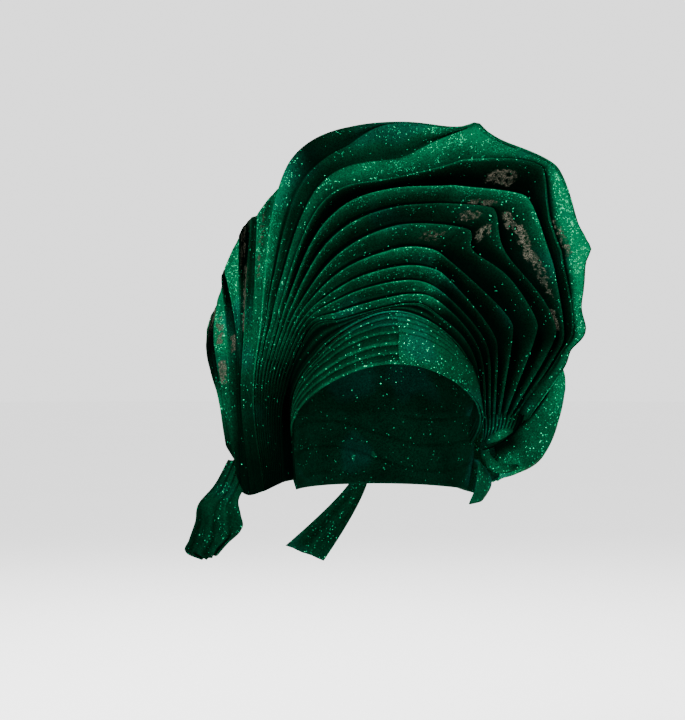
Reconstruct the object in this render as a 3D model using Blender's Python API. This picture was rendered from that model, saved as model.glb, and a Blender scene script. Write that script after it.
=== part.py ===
"""A tied gele head tie: a stepped forehead band, a tall pleated fan that rises from it, a wing of
stacked folds on one side, a cup-shaped pouch with its twist on the other, the wrap over the head,
and the knot and tails at the nape. Metres, +Z up, the face looks along -Y.

The origin is the seat: the middle of the head's hollow at brow level.
"""
from math import cos, exp, pi, radians, sin, sqrt

import bmesh
import bpy
from mathutils import Vector

# The hollow for the head
head_half_width = 0.0755
head_half_depth = 0.0955
head_rise = 0.1065
head_roundness = 2.6
nape_taper = 0.08

# Cloth
wall = 0.0024
fan_wall = 0.0030
clearance = 0.0005
rim_clearance = 0.0016

# Forehead band, which leans back and is laid in steps like shingles
band_front_up = 0.0625
band_ear_drop = 0.040
band_sharpness = 1.15
band_turn = radians(-8)
band_half_sweep = radians(105)
band_height = 0.0440
band_end_height = 0.0220
band_lean = radians(24)
band_side_lean = radians(7)
band_pleats = 6
band_step = 0.0022

# Pleated fan
fan_reach = 0.167
fan_height = 0.259
fan_sweep = 0.054
fan_columns = 34
pleat_depth = 0.013
band_tuck = 0.0012

# Left wing
wing_spread = 0.048
wing_height = 0.187
wing_sweep = 0.060
wing_pleat_depth = 0.007
wing_foot_share = 0.25

# Side pouch
pouch_spread = 0.0404
pouch_height = 0.066
pouch_drop = 0.044
pouch_back = 0.110

# Twist beside the temple: two rolls that meet at the pinch, and the fold over the ear
roll_half_width = 0.0062
roll_half_thickness = 0.0045
ear_fold_reach = (0.0030, 0.0065)
ear_fold_flare = 0.0120
ear_fold_sweep = (radians(80), radians(114))
ear_fold_up = -0.0200
ear_fold_drop = 0.0560

# Back of the head
nape_drop = 0.0460
nape_top = 0.0440
nape_gap_angle = radians(1.2)
knot_half_width = 0.026
knot_half_height = 0.019
knot_half_depth = 0.013
knot_drop = 0.026
knot_waist = 0.22
tie_pleat_depth = 0.0030
tie_bulge = 0.017
tie_facing = Vector((-0.45, 0.76, -0.45)).normalized()
tie_from = 0.6

# Hanging ends
tail_length = 0.088
tail_width = 0.046
tail_pleat_depth = 0.006
tail_opens = 0.30
tail_skew = 0.008
tail_out = -0.130
tail_up = -0.022
back_tail_length = 0.070
back_tail_width = 0.034
back_tail_swing = 0.052

# One row for each fold's crest, from the band outwards. Every column but the last is a share:
# _x of fan_reach, _z of fan_height, _y of fan_sweep, and hollow of pleat_depth.
# low and left are on the wing's side, corner and elbow on the pouch's side.
FOLD_COLUMNS = (
    "low_x", "left_x", "left_z", "left_y", "crown_z", "crown_y",
    "corner_x", "corner_z", "corner_y", "elbow_x", "elbow_z", "elbow_y", "hollow",
)
FOLDS = (
    (-0.392, -0.246, 0.378, -0.72, 0.425, -0.96, 0.20, 0.392, -0.88, 0.425, 0.240, -0.52, 0.40),
    (-0.41, -0.240, 0.405, -0.59, 0.452, -0.78, 0.22, 0.432, -0.74, 0.455, 0.255, -0.50, 0.45),
    (-0.43, -0.234, 0.448, -0.48, 0.498, -0.61, 0.23, 0.471, -0.59, 0.490, 0.280, -0.48, 0.70),
    (-0.45, -0.228, 0.486, -0.37, 0.544, -0.50, 0.25, 0.525, -0.50, 0.535, 0.305, -0.46, 0.75),
    (-0.47, -0.246, 0.525, -0.26, 0.602, -0.41, 0.24, 0.591, -0.44, 0.62, 0.355, -0.44, 0.90),
    (-0.49, -0.257, 0.575, -0.11, 0.676, -0.22, 0.40, 0.664, -0.37, 0.75, 0.356, -0.41, 1.00),
    (-0.51, -0.281, 0.629, -0.04, 0.737, -0.07, 0.54, 0.734, -0.26, 0.850, 0.332, -0.37, 1.00),
    (-0.53, -0.299, 0.687, 0.04, 0.799, 0.00, 0.71, 0.775, -0.22, 0.888, 0.312, -0.37, 0.95),
    (-0.55, -0.317, 0.749, 0.04, 0.850, -0.11, 0.762, 0.822, -0.33, 0.916, 0.324, -0.44, 0.75),
    (-0.575, -0.335, 0.807, 0.04, 0.918, -0.30, 0.786, 0.842, -0.41, 0.942, 0.333, -0.48, 0.60),
    (-0.595, -0.401, 0.850, 0.04, 0.966, -0.44, 0.808, 0.857, -0.48, 0.970, 0.339, -0.48, 0.45),
    (-0.615, -0.464, 0.893, 0.07, 0.996, -0.56, 0.832, 0.868, -0.52, 1.000, 0.342, -0.41, 0.40),
)
# How sharply each crest turns at its corner and its elbow, where the cloth was creased
CORNER_TENSION = (0.0, 0.1, 0.3, 0.5, 0.75, 0.75, 0.7, 0.6, 0.5, 0.45, 0.45, 0.45)
ELBOW_TENSION = (0.0, 0.1, 0.3, 0.5, 0.6, 0.55, 0.5, 0.45, 0.45, 0.45, 0.45, 0.45)
# Where a crest passes each station, as a share of its run from the left foot to the right foot
STATIONS = (0.0, 0.13, 0.24, 0.40, 0.54, 0.70, 0.88, 1.0)
crown_x = 0.04
low_z = 0.33
low_y = (0.02, 0.31)
waist_x = (-0.503, -0.640)
waist_z = 0.12
waist_y = (0.20, 0.46)
foot_x = (-0.487, -0.570)
foot_z = (-0.150, -0.182)
foot_y = (0.56, 0.80)
right_foot_x = (0.492, 0.740)
right_foot_z = (0.035, 0.050)
right_foot_y = (-0.10, 0.06)

# The line tucked behind the band: where it leaves the band on each side, how far it stands off
# there, and the point behind the ear that it runs down to
tuck_stretch = (0.13, 1.0)
tuck_sweep = (radians(-92), radians(100))
tuck_flare_from = radians(55)
tuck_flare = (0.0036, 0.0008)
tuck_sink = 0.0050
ear_angle = radians(-114)
ear_drop = 0.037
ear_stand_off = 0.0080

# Dents in the fan's free edge, and peaks where the depth is below 0: where along the run, how
# deep and how long, as shares of the run and of pleat_depth. They fade out inwards, to nothing
# at fold dented_from.
DENT_COLUMNS = ("along", "depth", "length")
DENTS = (
    (0.608, -0.40, 0.020),
    (0.790, -0.40, 0.020),
    (0.845, 0.45, 0.022),
    (0.912, 0.35, 0.014),
)
dented_from = 5

# One row for each crest of the left wing after the one that lies under the fan's edge. Shares:
# _x of wing_reach, _z of wing_height, _y of wing_sweep. wing_reach carries the wing's spread on
# from the foot of the fan's rim.
wing_reach = wing_spread - foot_x[1] * fan_reach
WING_COLUMNS = (
    "top_x", "top_z", "top_y", "mid_x", "mid_z", "mid_y",
    "waist_x", "waist_z", "waist_y", "foot_x", "foot_z", "foot_y",
)
WING = (
    (-0.735, 0.985, 0.20, -0.745, 0.50, 0.52, -0.775, 0.165, 0.60, -0.705, -0.265, 0.85),
    (-0.790, 0.955, 0.28, -0.800, 0.49, 0.56, -0.805, 0.165, 0.66, -0.735, -0.272, 0.88),
    (-0.835, 0.870, 0.38, -0.855, 0.48, 0.62, -0.832, 0.165, 0.72, -0.765, -0.270, 0.91),
    (-0.880, 0.775, 0.46, -0.895, 0.46, 0.68, -0.858, 0.162, 0.78, -0.790, -0.240, 0.94),
    (-0.925, 0.725, 0.56, -0.930, 0.44, 0.74, -0.880, 0.160, 0.84, -0.815, -0.180, 0.97),
    (-0.960, 0.600, 0.66, -0.965, 0.42, 0.80, -0.900, 0.158, 0.89, -0.832, -0.110, 0.99),
    (-1.000, 0.470, 0.78, -0.990, 0.34, 0.88, -0.925, 0.155, 0.95, -0.880, -0.045, 1.02),
)
WING_STATIONS = (0.0, 0.40, 0.72, 1.0)
wing_top_run = 0.365

# One row for each upright section of the pouch, from its open front edge round to the nape.
# Shares: _x of pouch_reach, _y of pouch_back, _z of pouch_height above the seat and of
# pouch_drop below it. pouch_reach carries the pouch's spread on from the fan's right foot.
pouch_reach = pouch_spread + right_foot_x[1] * fan_reach
POUCH_COLUMNS = (
    "top_x", "top_y", "top_z", "belly_x", "belly_y", "belly_z",
    "hip_x", "hip_y", "hip_z", "foot_x", "foot_y", "foot_z",
)
POUCH = (
    (0.900, 0.07, 0.96, 0.860, 0.065, 0.52, 0.745, 0.08, 0.16, 0.575, 0.04, -0.10),
    (0.955, 0.15, 1.00, 0.985, 0.18, 0.56, 0.885, 0.19, -0.34, 0.625, 0.12, -0.84),
    (0.925, 0.40, 1.00, 0.960, 0.46, 0.52, 0.850, 0.46, -0.36, 0.600, 0.40, -0.95),
    (0.760, 0.72, 0.92, 0.790, 0.80, 0.46, 0.705, 0.78, -0.36, 0.515, 0.66, -1.00),
    (0.470, 0.93, 0.74, 0.480, 0.99, 0.34, 0.450, 0.99, -0.20, 0.345, 0.91, -1.00),
    (0.200, 1.00, 0.55, 0.205, 1.03, 0.22, 0.200, 1.03, -0.20, 0.190, 1.01, -0.75),
)
POUCH_STATIONS = (0.0, 0.30, 0.62, 1.0)
pouch_heart = Vector((0.065, 0.045, 0.030))

# One row for each level of the side tail, from the top down. Shares: drop of tail_length,
# left and right of tail_width to either side of tail_out.
TAIL_COLUMNS = ("drop", "left", "right")
TAIL = (
    (0.00, 0.17, 0.58),
    (0.28, -0.13, 0.46),
    (0.44, -0.40, 0.34),
    (0.60, -0.46, 0.38),
    (0.78, -0.58, 0.40),
    (0.90, -0.64, 0.16),
    (1.00, -0.34, -0.06),
)

# The rolls of the twist: a point at each bend, shares of twist_reach from the pinch outwards and
# of twist_drop downwards, and how far forward of the pinch, a share of the same reach
twist_reach = 0.050
twist_drop = 0.030
pinch = Vector((0.0850, -0.0080, -0.0050))
ROLL_COLUMNS = ("across", "down", "back")
LOWER_ROLL = (
    (0.00, 0.00, 0.00),
    (0.02, 0.42, -0.03),
    (0.16, 0.74, -0.02),
    (0.36, 0.88, 0.04),
    (0.56, 0.92, 0.10),
)
UPPER_ROLL = (
    (0.06, -0.30, 0.036),
    (0.26, -0.42, -0.004),
    (0.50, -0.50, -0.004),
    (0.72, -0.46, 0.036),
)

# Colours
emerald = (0.004, 0.105, 0.040, 1.0)
deep_green = (0.002, 0.045, 0.020, 1.0)
bright_green = (0.010, 0.160, 0.065, 1.0)


def blend(a, b, share):
    return a + (b - a) * share


def curve_through(points, stations, share, tension=None):
    """The point at this share of a smooth curve that passes each point at its station. tension
    is 0 at a point where the curve bends smoothly and 1 where it turns sharply."""
    last = len(points) - 2
    i = 0
    while i < last and share > stations[i + 1]:
        i += 1

    def slope(k):
        if k == 0:
            return (points[1] - points[0]) / (stations[1] - stations[0])
        if k == len(points) - 1:
            return (points[k] - points[k - 1]) / (stations[k] - stations[k - 1])
        before = stations[k] - stations[k - 1]
        after = stations[k + 1] - stations[k]
        rise_before = (points[k] - points[k - 1]) / before
        rise_after = (points[k + 1] - points[k]) / after
        smooth = (rise_before * after + rise_after * before) / (before + after)
        return smooth * (1 - tension[k]) if tension else smooth

    span = stations[i + 1] - stations[i]
    t = (share - stations[i]) / span
    start, end = slope(i) * span, slope(i + 1) * span
    a = points[i] * (2 * t**3 - 3 * t**2 + 1) + start * (t**3 - 2 * t**2 + t)
    return a + points[i + 1] * (3 * t**2 - 2 * t**3) + end * (t**3 - t**2)


def cloth_material(name, colour):
    material = bpy.data.materials.new(name)
    material.use_nodes = True
    shader = material.node_tree.nodes["Principled BSDF"]
    shader.inputs["Base Color"].default_value = colour
    shader.inputs["Roughness"].default_value = 0.45
    shader.inputs["Metallic"].default_value = 0.35
    return material


def finish_piece(name, bm, colour):
    bmesh.ops.recalc_face_normals(bm, faces=bm.faces)
    mesh = bpy.data.meshes.new(name)
    bm.to_mesh(mesh)
    bm.free()
    mesh.materials.append(cloth_material(name + "_cloth", colour))
    mesh.shade_smooth()
    mesh.set_sharp_from_angle(angle=radians(50))
    piece = bpy.data.objects.new(name, mesh)
    bpy.context.collection.objects.link(piece)
    return piece


def flat_cloth(columns, rows):
    """A flat grid from 0 to 1 both ways, as cloth is before it is folded."""
    bm = bmesh.new()
    bmesh.ops.create_grid(bm, x_segments=columns, y_segments=rows, size=0.5)
    bmesh.ops.translate(bm, verts=bm.verts, vec=(0.5, 0.5, 0))
    return bm


def sheet(name, columns, rows, place, thickness, colour, closed=False):
    """Folds a flat grid with place(u, v) and gives it its wall with thickness(point)."""
    bm = flat_cloth(columns, rows)
    for vertex in bm.verts:
        vertex.co = place(vertex.co.x, vertex.co.y)
    if closed:
        bmesh.ops.remove_doubles(bm, verts=bm.verts, dist=0.00005)
    bmesh.ops.triangulate(bm, faces=bm.faces, quad_method="SHORT_EDGE")
    grown = bmesh.ops.extrude_face_region(bm, geom=bm.faces[:])
    for item in grown["geom"]:
        if isinstance(item, bmesh.types.BMVert):
            item.co += thickness(item.co)
    return finish_piece(name, bm, colour)


def head_share(z):
    """How far the head has closed in at height z: 1 at the seat, 0 at the crown."""
    if z < 0:
        return 1 - nape_taper * (z / nape_drop) ** 2
    return sqrt(max(0.0, 1 - (z / head_rise) ** head_roundness))


def around_head(angle, z, extra=0.0):
    """A point at this angle round the head from the front, extra outside its hollow."""
    share = head_share(z)
    return Vector((
        (head_half_width * share + extra) * sin(angle),
        -(head_half_depth * share + extra) * cos(angle),
        z,
    ))


def outward(angle):
    return Vector((sin(angle), -cos(angle), 0))


def band_low(off):
    """Height of the band's lower edge, off being the angle from its peak."""
    share = ((1 + cos(off)) / 2) ** band_sharpness
    return -band_ear_drop + (band_front_up + band_ear_drop) * share


def band_point(off, share, extra=0.0):
    """A point on the band's inner face, share of the way from its lower to its upper edge."""
    angle = band_turn + off
    low = band_low(off)
    ends = (1 - cos(off)) / (1 - cos(band_half_sweep))
    height = blend(band_height, band_end_height, ends**1.5)
    lean = blend(band_lean, band_side_lean, ends)
    start = around_head(angle, low, clearance)
    climb = Vector((0, 0, cos(lean))) - outward(angle) * sin(lean)
    at = start + climb * height * share
    on_head = around_head(angle, at.z, clearance)
    if on_head.xy.length > at.xy.length:
        at = on_head
    return at + outward(angle) * extra


def band_run(share):
    """The angle along the band for a share of the fan's run from left to right."""
    start, end = tuck_stretch
    t = min(1.0, max(0.0, (share - start) / (end - start)))
    return blend(tuck_sweep[0], tuck_sweep[1], t)


def make_band():
    rows = band_pleats * 2

    def place(u, v):
        row = round(v * rows)
        off = blend(-band_half_sweep, band_half_sweep, u)
        lifted = row % 2 == 0 and row < rows
        share = row / rows if lifted else (row + 0.7) / rows
        step = band_step * (1 - (off / band_half_sweep) ** 4)
        return band_point(off, min(share, 1.0), step if lifted else 0.0)

    def thickness(point):
        return Vector((point.x, point.y, 0)).normalized() * wall

    return sheet("forehead_band", 28, rows, place, thickness, emerald)


def fold_stations(index):
    """The eight points that fold index's crest passes, from its left foot to its right foot."""
    fold = dict(zip(FOLD_COLUMNS, FOLDS[index], strict=True))
    share = index / (len(FOLDS) - 1)

    def point(x, y, z):
        return Vector((x * fan_reach, y * fan_sweep, z * fan_height))

    def span(pair):
        return blend(pair[0], pair[1], share)

    return (
        point(span(foot_x), span(foot_y), span(foot_z)),
        point(span(waist_x), span(waist_y), waist_z),
        point(fold["low_x"], span(low_y), low_z),
        point(fold["left_x"], fold["left_y"], fold["left_z"]),
        point(crown_x, fold["crown_y"], fold["crown_z"]),
        point(fold["corner_x"], fold["corner_y"], fold["corner_z"]),
        point(fold["elbow_x"], fold["elbow_y"], fold["elbow_z"]),
        point(span(right_foot_x), span(right_foot_y), span(right_foot_z)),
    )


def dent(share):
    total = 0.0
    for row in DENTS:
        column = dict(zip(DENT_COLUMNS, row, strict=True))
        spread = ((share - column["along"]) / column["length"]) ** 2
        total += column["depth"] * pleat_depth * exp(-spread)
    return total


def tuck_point(share):
    off = band_run(share)
    flare = tuck_flare[0] if off < 0 else tuck_flare[1]
    side = max(0.0, (abs(off) - tuck_flare_from) / (tuck_sweep[1] - tuck_flare_from))
    over_wrap = wall / 2 + 2 * clearance + fan_wall * max(0.0, cos(band_turn + off))
    near_wrap = min(1.0, abs(off) / tuck_flare_from)
    at = band_point(off, 1.0, wall / 2 + over_wrap * near_wrap + flare * side)
    at.z += band_tuck - tuck_sink * side**2
    if share >= tuck_stretch[0]:
        return at
    ear = around_head(ear_angle, -ear_drop, ear_stand_off)
    return ear.lerp(at, share / tuck_stretch[0])


def crest(index, share):
    """A point on the crest of fold index; index -1 is the line tucked behind the band."""
    if index < 0:
        return tuck_point(share)
    tension = (0, 0, 0, 0, 0, CORNER_TENSION[index], ELBOW_TENSION[index], 0)
    at = curve_through(fold_stations(index), STATIONS, share, tension)
    if index > dented_from:
        middle = Vector((crown_x * fan_reach, at.y, low_z * fan_height))
        felt = (index - dented_from) / (len(FOLDS) - 1 - dented_from)
        at -= (at - middle).normalized() * dent(share) * felt
    return at


def make_fan():
    rows_per_fold = 3
    rows = rows_per_fold * len(FOLDS)
    hollow_at = (0.0, 0.34, 0.66)
    crests = {}

    def crest_at(index, share):
        key = (index, round(share * fan_columns))
        if key not in crests:
            crests[key] = crest(index, share)
        return crests[key]

    def place(u, v):
        fold, step = divmod(round(v * rows), rows_per_fold)
        inner = crest_at(fold - 1, u)
        if step == 0:
            return inner.copy()
        outer = crest_at(fold, u)
        hollow = FOLDS[fold][-1]
        pitch = Vector((outer.x - inner.x, 0, outer.z - inner.z)).length
        depth = min(hollow * pleat_depth, 0.72 * pitch)
        return inner.lerp(outer, hollow_at[step]) + Vector((0, depth, 0))

    def thickness(_point):
        return Vector((0, fan_wall, 0))

    return sheet("pleated_fan", fan_columns, rows, place, thickness, emerald)


def make_wing():
    rows_per_fold = 2
    rows = rows_per_fold * len(WING)

    def crest_at(index, share):
        if index < 0:
            run = wing_top_run * (1 - share)
            return crest(len(FOLDS) - 1, run) + Vector((0, fan_wall + 2 * clearance, 0))
        fold = dict(zip(WING_COLUMNS, WING[index], strict=True))
        points = [
            Vector((
                fold[spot + "_x"] * wing_reach,
                fold[spot + "_y"] * wing_sweep,
                fold[spot + "_z"] * wing_height,
            ))
            for spot in ("top", "mid", "waist", "foot")
        ]
        return curve_through(points, WING_STATIONS, share)

    def place(u, v):
        fold, step = divmod(round(v * rows), rows_per_fold)
        inner = crest_at(fold - 1, u)
        if step == 0:
            return inner
        outer = crest_at(fold, u)
        pitch = Vector((outer.x - inner.x, 0, outer.z - inner.z)).length
        depth = min(wing_pleat_depth, 0.8 * pitch) * blend(1.0, wing_foot_share, u)
        return inner.lerp(outer, 0.5) + Vector((0, depth, 0))

    def thickness(_point):
        return Vector((0, fan_wall, 0))

    return sheet("left_wing", 14, rows, place, thickness, emerald)


def make_pouch():
    sections = []
    for row in POUCH:
        column = dict(zip(POUCH_COLUMNS, row, strict=True))
        points = []
        for spot in ("top", "belly", "hip", "foot"):
            z = column[spot + "_z"]
            points.append(Vector((
                column[spot + "_x"] * pouch_reach,
                column[spot + "_y"] * pouch_back,
                z * (pouch_height if z > 0 else pouch_drop),
            )))
        sections.append(points)
    around = [i / (len(sections) - 1) for i in range(len(sections))]

    def place(u, v):
        rib = [curve_through(points, POUCH_STATIONS, v) for points in sections]
        return curve_through(rib, around, u)

    def thickness(point):
        return (pouch_heart - point).normalized() * wall

    return sheet("side_pouch", 15, 9, place, thickness, emerald)


def make_crown_wrap():
    rows = 8
    columns = 24

    def rim(angle):
        """Where the wrap, coming down from the crown, meets the band or the nape wrap."""
        off = (angle - band_turn + pi) % (2 * pi) - pi
        if abs(off) > band_half_sweep + 2 * pi / columns:
            return band_low(band_half_sweep) + band_end_height
        off = max(-band_half_sweep, min(band_half_sweep, off))
        low = band_low(off)
        top = band_point(off, 1.0).z
        z = head_rise * 0.97
        while z > 0:
            face = band_point(off, min(1.0, (z - low) / (top - low)))
            cloth = around_head(angle, z, wall + rim_clearance)
            if z < top + rim_clearance and cloth.xy.length > face.xy.length:
                return z
            z -= rim_clearance / 4
        return z

    def place(u, v):
        angle = 2 * pi * u
        top = rim(angle)
        z = top + (head_rise - top) * (1 - (1 - v) ** 2)
        return around_head(angle, min(z, head_rise), 0.0)

    def thickness(point):
        slope = Vector((
            point.x / head_half_width**2,
            point.y / head_half_depth**2,
            max(point.z, 0) / head_rise**2,
        ))
        return slope.normalized() * wall

    return sheet("crown_wrap", columns, rows, place, thickness, deep_green, closed=True)


def make_nape_wrap():
    def place(u, v):
        half = pi - band_half_sweep - nape_gap_angle
        angle = pi + band_turn + blend(-half, half, u)
        z = blend(-nape_drop, nape_top, v)
        return around_head(angle, z, wall + 2 * clearance)

    def thickness(point):
        return Vector((point.x, point.y, 0)).normalized() * wall

    return sheet("nape_wrap", 18, 5, place, thickness, emerald)


def table_points(columns, rows, scale, origin):
    """Turns a table's rows into points, each column a share of its own size."""
    points = []
    for row in rows:
        column = dict(zip(columns, row, strict=True))
        step = Vector((
            column["across"] * scale[0],
            column["back"] * scale[0],
            -column["down"] * scale[1],
        ))
        points.append(origin + step)
    return points


def make_roll(name, rows, colour):
    """A rolled fold of cloth: an oval carried along a smooth line, closed at both ends."""
    points = table_points(ROLL_COLUMNS, rows, (twist_reach, twist_drop), pinch)
    stations = [i / (len(points) - 1) for i in range(len(points))]
    rings = 10
    sides = 8
    bm = bmesh.new()
    loops = []
    for i in range(rings + 1):
        share = i / rings
        at = curve_through(points, stations, share)
        ahead = curve_through(points, stations, min(1.0, share + 0.01))
        behind = curve_through(points, stations, max(0.0, share - 0.01))
        along = (ahead - behind).normalized()
        across = along.cross(Vector((0, 1, 0))).normalized()
        front = across.cross(along)
        swell = 0.55 + 0.45 * sin(pi * min(1.0, share * 1.25 + 0.08) ** 0.8)
        ring = []
        for k in range(sides):
            turn = 2 * pi * k / sides
            offset = across * cos(turn) * roll_half_width + front * sin(turn) * roll_half_thickness
            ring.append(bm.verts.new(at + offset * swell))
        loop = [bm.edges.new((ring[k], ring[(k + 1) % sides])) for k in range(sides)]
        loops.append(loop)
        if i in (0, rings):
            bm.faces.new(ring)
    for before, after in zip(loops, loops[1:], strict=False):
        bmesh.ops.bridge_loops(bm, edges=before + after)
    return finish_piece(name, bm, colour)


def make_ear_fold():
    def place(u, v):
        angle = blend(ear_fold_sweep[0], ear_fold_sweep[1], u)
        low = blend(-ear_fold_drop, -nape_drop, u**1.5)
        z = blend(ear_fold_up, low, v)
        reach = blend(ear_fold_reach[0], ear_fold_reach[1], min(1.0, 2.2 * u))
        flare = ear_fold_flare * sin(pi * u) * sin(0.75 * pi * v)
        return around_head(angle, z, reach + flare)

    def thickness(point):
        return Vector((point.x, point.y, 0)).normalized() * wall

    return sheet("right_ear_fold", 8, 5, place, thickness, emerald)


def knot_centre():
    back = head_half_depth * head_share(-knot_drop) + 2 * wall + 3 * clearance
    return Vector((0, back + knot_half_depth * (1 - knot_waist / 2), -knot_drop))


def make_knot():
    """A tied knot: a squashed ball drawn in at its waist, with ribs that run over it."""
    bm = bmesh.new()
    bmesh.ops.create_uvsphere(bm, u_segments=20, v_segments=10, radius=1.0)
    for vertex in bm.verts:
        x, y, z = vertex.co
        waist = 1 - knot_waist * exp(-((x / 0.30) ** 2))
        rib = 1 + 0.06 * cos(6 * pi * z)
        vertex.co = (
            x * knot_half_width,
            y * knot_half_depth * rib * waist,
            z * knot_half_height * waist,
        )
        vertex.co += knot_centre()
    return finish_piece("nape_knot", bm, bright_green)


def make_left_tie():
    """The gathered end that carries the wing's feet round the back to the knot."""
    folds = 5
    rows = folds * 2
    rim_foot = crest(len(FOLDS) - 1, 0.0)
    inner_foot = crest(0, 0.0).lerp(rim_foot, tie_from)
    outer_feet = []
    for index in (1, 3, 4, 6):
        fold = dict(zip(WING_COLUMNS, WING[index], strict=True))
        outer_feet.append(Vector((
            fold["foot_x"] * wing_reach,
            fold["foot_y"] * wing_sweep,
            fold["foot_z"] * wing_height,
        )))
    feet = [inner_foot, rim_foot] + outer_feet
    stations = [i / (len(feet) - 1) for i in range(len(feet))]
    behind = fan_wall + tie_pleat_depth + 4 * clearance
    behind_tail = wall + 6 * clearance
    knot = knot_centre()

    def place(u, v):
        start = curve_through(feet, stations, v)
        start.y += behind + behind_tail * min(1.0, 2 * v)
        end = knot + Vector((
            -knot_half_width - clearance,
            0,
            blend(-0.7, 0.7, v) * knot_half_height,
        ))
        at = start.lerp(end, u)
        out = Vector((at.x, at.y, 0)).normalized()
        pleat = tie_pleat_depth * sin(pi * u) if round(v * rows) % 2 else 0.0
        return at + out * tie_bulge * sin(pi * u) ** 0.8 + tie_facing * pleat

    def thickness(_point):
        return tie_facing * wall

    return sheet("left_tie", 9, rows, place, thickness, emerald)


def make_tail():
    levels = [dict(zip(TAIL_COLUMNS, row, strict=True)) for row in TAIL]
    stations = [level["drop"] for level in levels]
    foot_back = WING[-1][WING_COLUMNS.index("foot_y")] * wing_sweep
    back = foot_back + fan_wall + wing_pleat_depth * wing_foot_share + 2 * clearance
    folds = 6

    def edge(side, share):
        points = [Vector((level[side], 0, 0)) for level in levels]
        return curve_through(points, stations, share).x

    def place(u, v):
        left = edge("left", v)
        right = edge("right", v)
        x = tail_out + blend(left, right, u) * tail_width
        opened = min(1.0, max(0.0, (v - tail_opens) / tail_opens))
        depth = tail_pleat_depth * opened * (0.5 - 0.5 * cos(pi * folds * u))
        tip = 0.08 * (right - left) * (1 - (2 * u - 0.6) ** 2)
        z = tail_up - tail_length * v * (0.94 + tip)
        return Vector((x, back - tail_skew * u * (1 - v) + depth, z))

    def thickness(_point):
        return Vector((0, wall, 0))

    return sheet("side_tail", 12, 10, place, thickness, emerald)


def make_back_tail():
    knot = knot_centre()
    top = knot.z - knot_half_height * (1 - knot_waist / 2) - clearance
    folds = 4

    def place(u, v):
        width = back_tail_width * (0.45 + 0.55 * v)
        x = -back_tail_swing * v**1.2 + (u - 0.5) * width
        depth = tail_pleat_depth * v * (0.5 - 0.5 * cos(pi * folds * u))
        point_down = 0.20 * v * u
        z = top - back_tail_length * (v * 0.8 + point_down)
        y = knot.y - 0.003 - 0.014 * v + depth
        return Vector((x, y, z))

    def thickness(_point):
        return Vector((0, wall, 0))

    return sheet("back_tail", 8, 8, place, thickness, emerald)


def main():
    for item in list(bpy.data.objects):
        bpy.data.objects.remove(item, do_unlink=True)
    make_band()
    make_fan()
    make_wing()
    make_pouch()
    make_crown_wrap()
    make_nape_wrap()
    make_roll("lower_twist", LOWER_ROLL, emerald)
    make_roll("upper_twist", UPPER_ROLL, bright_green)
    make_ear_fold()
    make_knot()
    make_left_tie()
    make_tail()
    make_back_tail()


main()
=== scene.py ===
# %% [markdown]
# # A tied gele head tie
# A gele is one long piece of stiff, shiny cloth. It is pleated by hand, wrapped round the head and
# tied at the nape. The script loads the plain solids of the part, then puts a finely folded cloth
# over each of them. Units are metres, +Z is up, and the wearer looks along -Y.

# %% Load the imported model
from math import cos, exp, floor, pi, radians, sin, sqrt

import bmesh
import bpy
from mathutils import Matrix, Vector, noise


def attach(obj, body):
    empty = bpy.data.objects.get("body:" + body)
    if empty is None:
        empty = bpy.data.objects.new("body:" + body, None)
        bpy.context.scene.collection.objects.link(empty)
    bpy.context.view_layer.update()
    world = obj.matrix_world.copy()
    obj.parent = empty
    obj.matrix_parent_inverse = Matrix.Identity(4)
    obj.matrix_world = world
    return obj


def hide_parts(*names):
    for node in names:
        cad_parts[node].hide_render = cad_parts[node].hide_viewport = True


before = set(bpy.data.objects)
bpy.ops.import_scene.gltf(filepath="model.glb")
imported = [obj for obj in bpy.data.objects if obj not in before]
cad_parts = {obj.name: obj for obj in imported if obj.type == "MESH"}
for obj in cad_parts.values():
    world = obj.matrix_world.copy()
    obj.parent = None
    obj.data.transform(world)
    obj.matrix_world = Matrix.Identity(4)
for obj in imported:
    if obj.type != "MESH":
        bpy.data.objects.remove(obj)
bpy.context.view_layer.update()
print("solids:", sorted(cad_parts))

# %% [markdown]
# ## Camera
# The photograph looks at the head tie from a little to the wearer's right of the front, and from
# just above the seat. The camera stands on that line, and turns a little so that the head tie is
# framed as in the picture.

# %% Camera
camera_azimuth = radians(-12)
camera_elevation = radians(3)
camera_distance = 1.5
lens_mm = 90
framed = (-0.0354, 0.0642)

back = Vector((
    sin(camera_azimuth) * cos(camera_elevation),
    -cos(camera_azimuth) * cos(camera_elevation),
    sin(camera_elevation),
))
right = Vector((cos(camera_azimuth), sin(camera_azimuth), 0))
up = back.cross(right)
view_centre = right * framed[0] + up * framed[1]

camera = bpy.data.objects.new("camera", bpy.data.cameras.new("camera"))
camera.data.lens = lens_mm
camera.data.sensor_width = 36
camera.location = back * camera_distance
camera.rotation_euler = (camera.location - view_centre).to_track_quat("Z", "Y").to_euler()
bpy.context.collection.objects.link(camera)
bpy.context.scene.camera = camera
print("camera at", [round(value, 3) for value in camera.location])

# %% [markdown]
# ## Shader maths
# A wrapped socket lets a pattern be written as a sum, such as `1 - mask`, and adds the Math nodes
# that the sum needs. Every other node comes from one method.


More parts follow.
